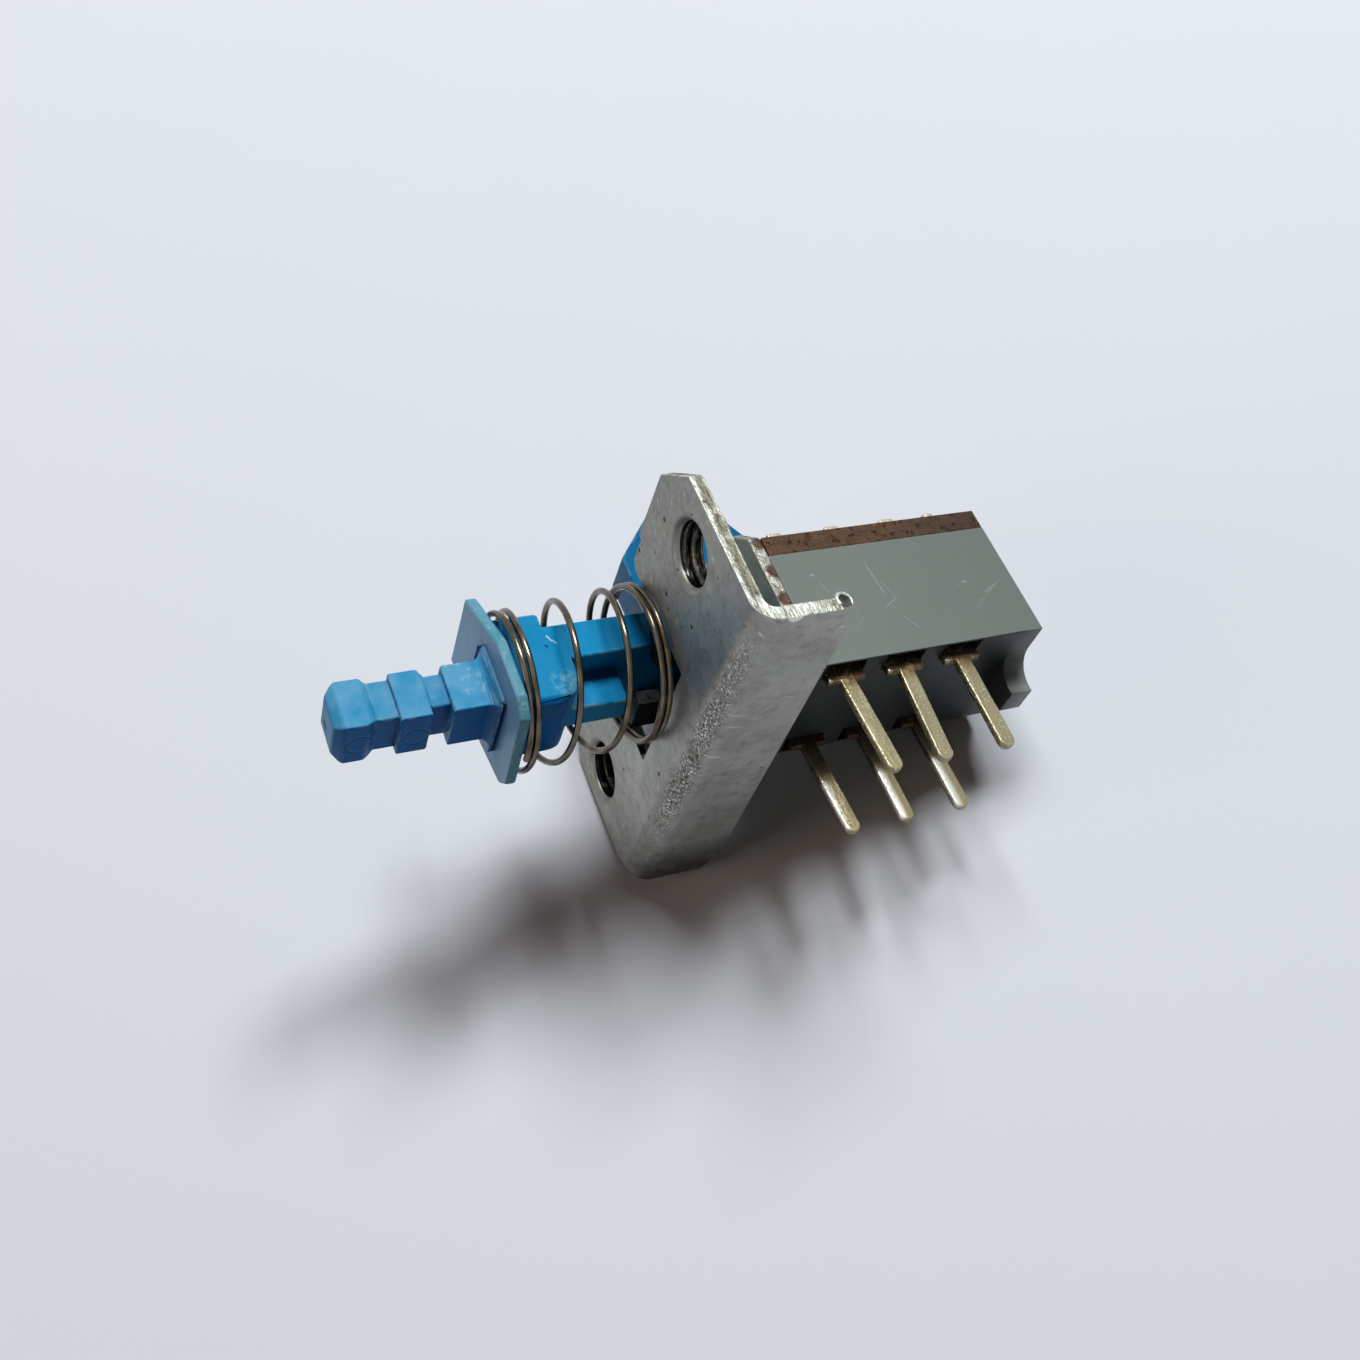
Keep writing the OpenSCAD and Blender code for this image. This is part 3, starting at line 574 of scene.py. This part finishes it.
# The saw tore the paper layers, which leaves pale fibres and dark holes in a dull brown side
layers = clouds(tree, place, 0.5, 0.35, 0.65, 6, (0.8, 0.8, 1.3))
rear = along(tree, place, "X", 11, 16)
fibres = clouds(tree, place, 0.16, 0.56, 0.68, 5, (0.7, 1, 1), (0, 0.4, 0))
holes = clouds(tree, place, 0.28, 0.4, 0.32, 5, (1, 1, 0.8))
feed(tree, shader, Base_Color=coloured(
    tree, "#58402c", (layers, 0.6, "#3c2a1e"), (rear, 0.65, "#33241c"),
    (holes, 0.6, "#1a110a"), (fibres, 0.5, "#8a6b41")))
relief(tree, shader, (layers, 0.05), (fibres, 0.05), (holes, -0.08))

board = merged_copy("terminal_board", "laminate_board", laminate)
softened(board, 0.06)
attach(board, "switch_body")


# ---------------------------------------------------------------- Board studs
# Two brass studs hold the rear end of the board to the body. Each was turned, pushed through the
# board and staked over, and only its low domed head shows.
pink_brass, tree, shader, place = finish("staked brass", {"Metallic": 1.0, "Roughness": 0.4})
# Staking left the heads a dull pink with darker smears
smear = clouds(tree, place, 0.4, 0.4, 0.65, 5)
feed(tree, shader, Base_Color=coloured(tree, "#cdb9a2", (smear, 0.6, "#a4846c")))
relief(tree, shader, (smear, 0.03))

studs = merged_copy("board_rivets", "board_studs", pink_brass)
softened(studs, 0.08)
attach(studs, "switch_body")


# ---------------------------------------------------------------- Terminals
# Six flat brass strips, blanked and tin plated, pressed into the side walls. The plating has
# yellowed to pale gold, and the shoulders and tabs, where it is thin, look like copper.
FAR_PINS_X = (6.9, 9.72, 12.56)
NEAR_SHOULDERS_X = (6.34, 9.16, 12.0)

tinned, tree, shader, place = finish("tin plated brass", {"Metallic": 1.0, "Roughness": 0.36})
# The old tin is patchy along each strip, with pale grains painted on as glints, and its rims are
# rubbed and painted bright as highlights
drawn = clouds(tree, place, 0.5, 0.35, 0.65, 5, (1, 1, 0.22))
glint_grains = clouds(tree, place, 0.07, 0.54, 0.68, 3, (1, 1, 0.7))
bare = either(tree, along(tree, place, "Z", -4.5, -3.5),
              both(tree, along(tree, place, "Z", -6.6, -5.2),
                   clouds(tree, place, 0.8, 0.58, 0.7, 4)))
blush = both(tree, bare, clouds(tree, place, 0.6, 0.25, 0.6, 4))
# Inside the openings the strips are darkened
opening_darkening = both(tree, along(tree, place, "Z", -4.1, -3.4), along(tree, place, "Z", 0.0, -1.0),
            clouds(tree, place, 0.35, 0.3, 0.5, 4))
# The far row's lower part is painted lighter as a painted reflection
far_row_reflection = both(tree, along(tree, place, "Y", 0.0, 1.0), along(tree, place, "Z", -4.2, -5.0))
tabs = along(tree, place, "Z", 3.3, 3.6)
rubbed_rim_highlights = both(tree, worn_edges(tree, place, 0.08, 0.7), along(tree, place, "Z", -3.9, -4.4))
# On the far row, bright streaks are painted highlights and dark roots are painted shade. Bright
# spots on the near row's shoulders are painted highlights
streak_highlights = either(tree, *[scratch(tree, place, (x, 2.2, -7.7), (x, 2.2, -5.6), 0.34)
                       for x in FAR_PINS_X])
far_root_shade = both(tree, along(tree, place, "Y", 0.0, 1.0), along(tree, place, "Z", -5.7, -5.0))
shoulder_highlights = either(tree, *[dot(tree, place, (x, -2.6, -3.55), 0.16, 0.6)
                       for x in NEAR_SHOULDERS_X])
feed(tree, shader, Base_Color=coloured(
    tree, "#958c6f", (drawn, 0.6, "#786f53"), (glint_grains, 0.6, "#d5cfb6"),
    (blush, 0.6, "#8a683c"), (rubbed_rim_highlights, 0.75, "#dcd6bc"), (far_row_reflection, 0.4, "#a08f6a"),
    (streak_highlights, 0.9, "#fbf8ec"), (far_root_shade, 0.8, "#2e2520"), (shoulder_highlights, 0.9, "#f3ead0"),
    (tabs, 0.8, "#cdbbaa"), (opening_darkening, 0.85, "#33231a")))
feed(tree, shader, Roughness=add(tree, "ShaderNodeMapRange", {
    "Value": drawn, "To Min": 0.3, "To Max": 0.42}))
relief(tree, shader, (drawn, 0.012), (glint_grains, 0.02))

for row in ("near", "far"):
    for number in (1, 2, 3):
        terminal = merged_copy(f"terminal_{row}_{number}", f"pin_{row}_{number}", tinned)
        softened(terminal, 0.07, 3)
        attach(terminal, "switch_body")


# ---------------------------------------------------------------- Plunger
# One moulding in blue acetal: finger bar, spring flange, block, shaft and cam block. Handling has
# hazed the finger bar, with painted highlights on its upper faces, its edges are rubbed pale, and
# its inward corners are painted dark as shade.
BAR_LENGTH = 6.3
FLANGE_BACK = -6.1
SHARP_TURN = radians(25)


def creases(tree, reach):
    """1 in inward corners this many millimetres deep, where shade is painted, and 0 in the open."""
    open_share = add(tree, "ShaderNodeAmbientOcclusion", {"Distance": reach * MM},
                     samples=6).outputs["AO"]
    return add(tree, "ShaderNodeMapRange", {
        "Value": open_share, "From Min": 0.95, "From Max": 0.55})


def facing_down(tree):
    """1 on faces that look toward -Z, and 0 on level and upper ones."""
    outward = add(tree, "ShaderNodeNewGeometry").outputs["True Normal"]
    parts = add(tree, "ShaderNodeSeparateXYZ", {"Vector": outward})
    return add(tree, "ShaderNodeMapRange", {
        "Value": parts.outputs["Z"], "From Min": -0.35, "From Max": -0.7})


def ring_mark(tree, place, centre, radius, width):
    """1 along a circle on the surface, as an ejector pin leaves. Sizes are in millimetres."""
    gap = add(tree, "ShaderNodeVectorMath", {0: place, 1: Vector(centre) * MM},
              operation="DISTANCE")
    off = add(tree, "ShaderNodeMath", {0: gap.outputs["Value"], 1: radius * MM},
              operation="SUBTRACT")
    size = add(tree, "ShaderNodeMath", {0: off}, operation="ABSOLUTE")
    return add(tree, "ShaderNodeMapRange", {
        "Value": size, "From Min": width * MM, "From Max": 0.3 * width * MM})


acetal, tree, shader, place = finish(
    "moulded blue acetal", {"IOR": 1.48, "Specular IOR Level": 0.1})
# Acetal is waxy and even, painted darker towards the body as shade. What is handled loses its
# gloss, and its upper faces are painted pale as a highlight
tone = clouds(tree, place, 2.2, 0.3, 0.7)
below = facing_down(tree)
above = add(tree, "ShaderNodeMath", {0: 1.0, 1: below}, operation="SUBTRACT")
haze_and_highlight = both(tree, along(tree, place, "X", -6.3, -7.0), above,
            clouds(tree, place, 0.9, 0.25, 0.6, 5))
# The flange's front face is painted paler as a painted reflection
flange_face_reflection = both(tree, along(tree, place, "X", -6.45, -6.52), along(tree, place, "X", -6.7, -6.6))
# Painted shade darkens the shaft towards the body
deep = along(tree, place, "X", -2.6, -0.4)
tip = along(tree, place, "X", -12.8, -12.88)
shadowed = both(tree, below, along(tree, place, "X", -3.7, -4.1))
# The block's lower rear corner is chewed pale where the spring has rubbed it
chewed = both(tree, dot(tree, place, (-4.1, -1.9, -1.05), 0.7, 0.3),
              clouds(tree, place, 0.3, 0.42, 0.6, 6))
# Dents on the upper faces are painted pale as glints
dents_and_glints = both(tree, along(tree, place, "X", -6.4, -7.0), along(tree, place, "X", -9.2, -8.6), above,
             clouds(tree, place, 0.22, 0.56, 0.64, 4, (1, 1, 0.7)))
rubbed = worn_edges(tree, place, 0.14, 0.5)
# Painted shade darkens the inward corners
crease_shade = creases(tree, 0.7)
dirt = specks(tree, place, 0.7, 0.07, 0.12)
# The mould left a gate scar on the bar's end and the rings of two ejector pins underneath
gate = ring_mark(tree, place, (-12.9, 0.15, 0.1), 0.1, 0.16)
pins = either(tree, ring_mark(tree, place, (-11.95, 0, -1.1), 0.5, 0.07),
              ring_mark(tree, place, (-9.75, 0.1, -0.95), 0.5, 0.07))
# The block is nicked, and black dirt sticks to the flange's corner and the block
nick = either(tree, scratch(tree, place, (-4.12, -1.9, 1.2), (-4.0, -1.9, 0.95), 0.05),
              scratch(tree, place, (-3.96, -1.9, 0.97), (-3.85, -1.9, 0.8), 0.04))
black = either(tree, scratch(tree, place, (-6.55, -1.38, 3.95), (-6.35, -1.3, 3.95), 0.16),
               scratch(tree, place, (-4.3, -1.9, 0.75), (-4.25, -1.9, 0.7), 0.07))
feed(tree, shader, Base_Color=coloured(
    tree, "#0186b8", (tone, 0.4, "#017aaa"), (haze_and_highlight, 0.55, "#6dabc8"),
    (dents_and_glints, 0.35, "#9cc4d8"), (shadowed, 0.6, "#0148a0"), (chewed, 0.6, "#9cc3bf"),
    (flange_face_reflection, 0.45, "#9db7cf"), (deep, 0.65, "#014470"), (tip, 0.35, "#1f7fb4"),
    (rubbed, 0.7, "#93bcc6"), (pins, 0.4, "#08466f"), (gate, 0.7, "#123a55"),
    (nick, 0.7, "#c5d8de"), (crease_shade, 0.8, "#014a85"), (dirt, 0.6, "#1d2a33"),
    (black, 0.9, "#15181a")))
feed(tree, shader, Roughness=add(tree, "ShaderNodeMapRange", {
    "Value": haze_and_highlight, "To Min": 0.28, "To Max": 0.45}))
relief(tree, shader, (tone, 0.03), (dents_and_glints, 0.012), (pins, -0.02), (gate, -0.08),
       (clouds(tree, place, 0.1, 0.4, 0.6, 3), 0.002))

soiled, tree, shader, place = finish(
    "soiled blue acetal", {"IOR": 1.48, "Roughness": 0.45, "Specular IOR Level": 0.15})
# The flange's rim is rubbed dull and has picked up grey dirt
grime = clouds(tree, place, 0.7, 0.35, 0.65, 6)
chalky = clouds(tree, place, 0.3, 0.55, 0.68, 5)
feed(tree, shader, Base_Color=coloured(
    tree, "#5f98a6", (grime, 0.6, "#3c87a0"), (chalky, 0.45, "#9fb4b0")))
relief(tree, shader, (grime, 0.03), (chalky, 0.02))

plunger = merged_copy("plunger", "blue_plunger", acetal, soiled)
# Only outward edges are rounded, because the inward ones are tight moulded corners
form = bmesh.new()
form.from_mesh(plunger.data)
weight = form.edges.layers.float.new("bevel_weight_edge")
for edge in form.edges:
    turn = edge.calc_face_angle_signed(0)
    edge[weight] = 1 if turn > SHARP_TURN else 0
    edge.smooth = turn > -SHARP_TURN
form.to_mesh(plunger.data)
form.free()
# The flange's rim
flange_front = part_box("plunger")[0].x + BAR_LENGTH * MM
for face in plunger.data.polygons:
    in_flange = flange_front < face.center.x < FLANGE_BACK * MM
    if in_flange and abs(face.normal.x) < 0.5 and face.center.yz.length > 2.5 * MM:
        face.material_index = 1
softened(plunger, 0.11, 3, "WEIGHT")
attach(plunger, "plunger_body")


# ---------------------------------------------------------------- Return spring
# Hard drawn steel wire, 0.27 mm thick, coiled with closed turns at both ends.
# Its skin is dark, with a faint straw colour from stress relief, and bright towards the light.
WIRE = 0.27
CLOSED_PITCH = WIRE + 0.02
FRONT_TURNS, FREE_TURNS, REAR_TURNS = 1.3, 2.45, 1.75
STEPS_A_TURN = 64
COIL_RADIUS = 3.14
REAR_CENTRE, LEAN = (0, -0.5, 0.24), (0, 0.5, -0.12)

wire_steel, tree, shader, place = finish(
    "hard drawn spring steel", {"Metallic": 1.0, "Roughness": 0.27})
# The drawing die left the wire smooth, so that it glints in long lines between dull patches
tarnish = clouds(tree, place, 0.9, 0.4, 0.65, 4)
dull = clouds(tree, place, 0.6, 0.4, 0.7, 4)
feed(tree, shader, Base_Color=coloured(
    tree, "#71675a", (tarnish, 0.6, "#4b402c"), (dull, 0.55, "#2c2820")))
feed(tree, shader, Roughness=add(tree, "ShaderNodeMapRange", {
    "Value": dull, "To Min": 0.16, "To Max": 0.3}))
relief(tree, shader, (clouds(tree, place, 0.15), 0.001))

coil = bpy.data.node_groups.new("coil spring", "GeometryNodeTree")
SOCKETS = {
    "Float": ("Start", "Closed pitch", "Free pitch", "Front turns", "Free turns", "All turns",
              "Radius", "Wire"),
    "Vector": ("Rear centre", "Lean"), "Int": ("Steps a turn",), "Material": ("Metal",)}
for kind, names in SOCKETS.items():
    for name in names:
        coil.interface.new_socket(name, in_out="INPUT", socket_type=f"NodeSocket{kind}")
coil.interface.new_socket("Spring", in_out="OUTPUT", socket_type="NodeSocketGeometry")
given = coil.nodes.new("NodeGroupInput").outputs
MATH, VECTOR = "ShaderNodeMath", "ShaderNodeVectorMath"
count = add(coil, MATH, {0: given["All turns"], 1: given["Steps a turn"]}, operation="MULTIPLY")
path = add(coil, "GeometryNodeMeshLine", {"Count": count})
index = add(coil, "GeometryNodeInputIndex")
turn = add(coil, MATH, {0: index, 1: given["Steps a turn"]}, operation="DIVIDE")
past_front = add(coil, MATH, {0: turn, 1: given["Front turns"]}, operation="SUBTRACT")
opened = add(coil, "ShaderNodeClamp", {"Value": past_front, "Max": given["Free turns"]})
shut = add(coil, MATH, {0: turn, 1: opened}, operation="SUBTRACT")
shut_run = add(coil, MATH, {0: shut, 1: given["Closed pitch"], 2: given["Start"]},
               operation="MULTIPLY_ADD")
along_x = add(coil, MATH, {0: opened, 1: given["Free pitch"], 2: shut_run},
              operation="MULTIPLY_ADD")
angle = add(coil, MATH, {0: turn, 1: -2 * pi}, operation="MULTIPLY")
sine = add(coil, MATH, {0: angle}, operation="SINE")
across = add(coil, MATH, {0: sine, 1: given["Radius"]}, operation="MULTIPLY")
minus = add(coil, MATH, {0: given["Radius"], 1: -1}, operation="MULTIPLY")
cosine = add(coil, MATH, {0: angle}, operation="COSINE")
upward = add(coil, MATH, {0: cosine, 1: minus}, operation="MULTIPLY")
circle_place = add(coil, "ShaderNodeCombineXYZ", {"X": along_x, "Y": across, "Z": upward})
# The rear end sits a little off the middle, and the coil leans in towards the plunger's flange
share = add(coil, MATH, {0: along_x, 1: given["Start"]}, operation="DIVIDE")
leaning = add(coil, VECTOR, {0: given["Lean"], "Scale": share}, operation="SCALE")
centred = add(coil, VECTOR, {0: circle_place, 1: leaning}, operation="ADD")
placed = add(coil, VECTOR, {0: centred, 1: given["Rear centre"]}, operation="ADD")
bent = add(coil, "GeometryNodeSetPosition", {"Geometry": path, "Position": placed})
curve = add(coil, "GeometryNodeMeshToCurve", {"Mesh": bent})
half_wire = add(coil, MATH, {0: given["Wire"], 1: 0.5}, operation="MULTIPLY")
section = add(coil, "GeometryNodeCurvePrimitiveCircle", {"Resolution": 14, "Radius": half_wire})
tube = add(coil, "GeometryNodeCurveToMesh", {
    "Curve": curve, "Profile Curve": section, "Fill Caps": True})
solid = add(coil, "GeometryNodeRealizeInstances", {"Geometry": tube})
clad = add(coil, "GeometryNodeSetMaterial", {"Geometry": solid, "Material": given["Metal"]})
coil.links.new(clad.outputs[0], coil.nodes.new("NodeGroupOutput").inputs[0])

spring_low, spring_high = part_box("return_spring")
spring_start = spring_low.x + WIRE / 2 * MM
spring_stop = spring_high.x - WIRE / 2 * MM
free_length = spring_stop - spring_start
closed_turns = FRONT_TURNS + REAR_TURNS
free_pitch = (free_length - closed_turns * CLOSED_PITCH * MM) / FREE_TURNS
values = {"Start": spring_start, "Closed pitch": CLOSED_PITCH * MM, "Free pitch": free_pitch,
          "Front turns": FRONT_TURNS, "Free turns": FREE_TURNS,
          "All turns": closed_turns + FREE_TURNS, "Radius": COIL_RADIUS * MM,
          "Wire": WIRE * MM, "Rear centre": Vector(REAR_CENTRE) * MM,
          "Lean": Vector(LEAN) * MM, "Steps a turn": STEPS_A_TURN, "Metal": wire_steel}
spring = bpy.data.objects.new("coil_spring", bpy.data.meshes.new("coil_spring"))
bpy.context.scene.collection.objects.link(spring)
winding = spring.modifiers.new("winding", "NODES")
winding.node_group = coil
for socket in coil.interface.items_tree:
    if socket.in_out == "INPUT":
        winding[socket.identifier] = values[socket.name]
baked(spring)
spring.data.shade_smooth()
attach(spring, "switch_body")
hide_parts("return_spring")
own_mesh(spring)


# ---------------------------------------------------------------- Contacts and latch
# Two sprung bronze bridges ride on the plunger inside the body. The latch pin is bent from 0.4 mm
# steel wire, and a small steel leaf holds it in its track.
bronze, tree, shader, place = finish("rolled phosphor bronze", {"Metallic": 1.0, "Roughness": 0.3})
# Rolling gave it a warm even shine with faint lines along the strip
rolled = clouds(tree, place, 0.3, 0.35, 0.65, 4, (0.15, 1, 1))
feed(tree, shader, Base_Color=coloured(tree, "#c99b63", (rolled, 0.5, "#a87d4b")))
relief(tree, shader, (rolled, 0.005))
for side in ("near", "far"):
    clip = merged_copy(f"contact_clip_{side}", f"bronze_bridge_{side}", bronze)
    softened(clip, 0.03)
    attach(clip, "plunger_body")

pin = merged_copy("latch_pin", "latch_wire", wire_steel)
pin.data.set_sharp_from_angle(angle=radians(40))
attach(pin, "latch_body")
leaf = merged_copy("latch_spring", "latch_leaf", wire_steel)
softened(leaf, 0.02)
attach(leaf, "switch_body")


# ---------------------------------------------------------------- Table, light and camera
# The switch lies on a white table, resting on the bracket's far end and the body's rear corner.
# A window with two panes is the strong light, and a warm wall and the pale room fill in weakly.
REST = [Vector((3.4, 9.1, -4.4)), Vector((0.6, 9.35, 1.95)), Vector((16.85, 3.25, 3.6))]
HALF_TABLE = 260
LAMP_REACH = 0.5  # metres
TO_LEFT_PANE = Vector((-0.13, -0.89, 0.425)).normalized()
TO_RIGHT_PANE = Vector((0.16, -0.933, 0.321)).normalized()
TO_WALL = Vector((-0.99, -0.1, 0.0)).normalized()
LAMPS = (  # name, way to it, width and height in metres, power in watts, colour
    ("left_pane", TO_LEFT_PANE, 0.17, 0.15, 1.78, "#fafcff"),
    ("right_pane", TO_RIGHT_PANE, 0.1, 0.09, 1.1, "#fafcff"),
    ("wall", TO_WALL, 0.2, 0.2, 0.3, "#ffdac4"))

up = (REST[2] - REST[0]).cross(REST[1] - REST[0]).normalized()
if up.y > 0:
    up = -up
side_way = up.orthogonal().normalized()
table_mesh = bpy.data.meshes.new("table_top")
corners = [REST[0] + (side_way * a + up.cross(side_way) * b) * HALF_TABLE
           for a, b in ((-1, -1), (1, -1), (1, 1), (-1, 1))]
table_mesh.from_pydata([c * MM for c in corners], [], [(0, 1, 2, 3)])
table = bpy.data.objects.new("table_top", table_mesh)
bpy.context.scene.collection.objects.link(table)

paper, tree, shader, place = finish(
    "matt white paper", {"Roughness": 0.85, "Specular IOR Level": 0.2})
# Paper is dull and almost even, with very faint clouds of its pulp
pulp = clouds(tree, place, 14, 0.3, 0.7, 3)
feed(tree, shader, Base_Color=coloured(tree, "#dfe4ea", (pulp, 0.25, "#dce1e8")))
# From below, the table isn't there, so that the far side can be seen
clear = add(tree, "ShaderNodeBsdfTransparent")
facing = add(tree, "ShaderNodeNewGeometry")
shown = add(tree, "ShaderNodeMixShader", {0: facing.outputs["Backfacing"], 1: shader, 2: clear})
tree.links.new(shown.outputs[0], tree.nodes["Material Output"].inputs["Surface"])
table_mesh.materials.append(paper)
if table_mesh.polygons[0].normal.dot(up) < 0:
    table_mesh.flip_normals()

for name, way, width, height, power, tint in LAMPS:
    lamp_data = bpy.data.lights.new(name, "AREA")
    lamp_data.shape, lamp_data.size, lamp_data.size_y = "RECTANGLE", width, height
    lamp_data.color, lamp_data.energy = linear(tint)[:3], power
    lamp = bpy.data.objects.new(name, lamp_data)
    lamp.location = way * LAMP_REACH
    lamp.rotation_euler = way.to_track_quat("Z", "Y").to_euler()
    bpy.context.scene.collection.objects.link(lamp)

room = bpy.data.worlds.new("pale room")
bpy.context.scene.world = room
room.use_nodes = True
tree = room.node_tree
# The room lights the switch softly from the window's side. Past the table a pale wall is seen
outlook = add(tree, "ShaderNodeTexCoord").outputs["Generated"]
toward = add(tree, "ShaderNodeVectorMath", {0: outlook, 1: TO_LEFT_PANE}, operation="DOT_PRODUCT")
glow = add(tree, "ShaderNodeMapRange", {
    "Value": toward.outputs["Value"], "From Min": -0.2, "From Max": 0.95})
sky = add(tree, "ShaderNodeMix", {
    "Factor": glow, "A": linear("#8f7c74"), "B": linear("#ffc3a8")}, data_type="RGBA")
path = add(tree, "ShaderNodeLightPath").outputs
seen = either(tree, path["Is Camera Ray"], path["Is Glossy Ray"], path["Is Transmission Ray"])
shade = add(tree, "ShaderNodeMix", {"Factor": seen, "A": sky, "B": linear("#dce2e6")},
            data_type="RGBA")
strength = add(tree, "ShaderNodeMapRange", {"Value": seen, "To Min": 0.035, "To Max": 1.0})
backdrop = tree.nodes["Background"]
tree.links.new(shade.outputs[2], backdrop.inputs["Color"])
tree.links.new(strength.outputs[0], backdrop.inputs["Strength"])

camera = bpy.data.cameras.new("camera")
camera.lens, camera.sensor_width = 39.458, 36
camera.clip_start, camera.clip_end = 0.005, 10
eye = bpy.data.objects.new("camera", camera)
eye.location = Vector((-23.651, -47.387, -29.944)) * MM
eye.rotation_euler = (radians(120.853), radians(20.841), radians(-15.958))
bpy.context.scene.collection.objects.link(eye)
bpy.context.scene.camera = eye
bpy.context.scene.view_settings.view_transform = "Standard"
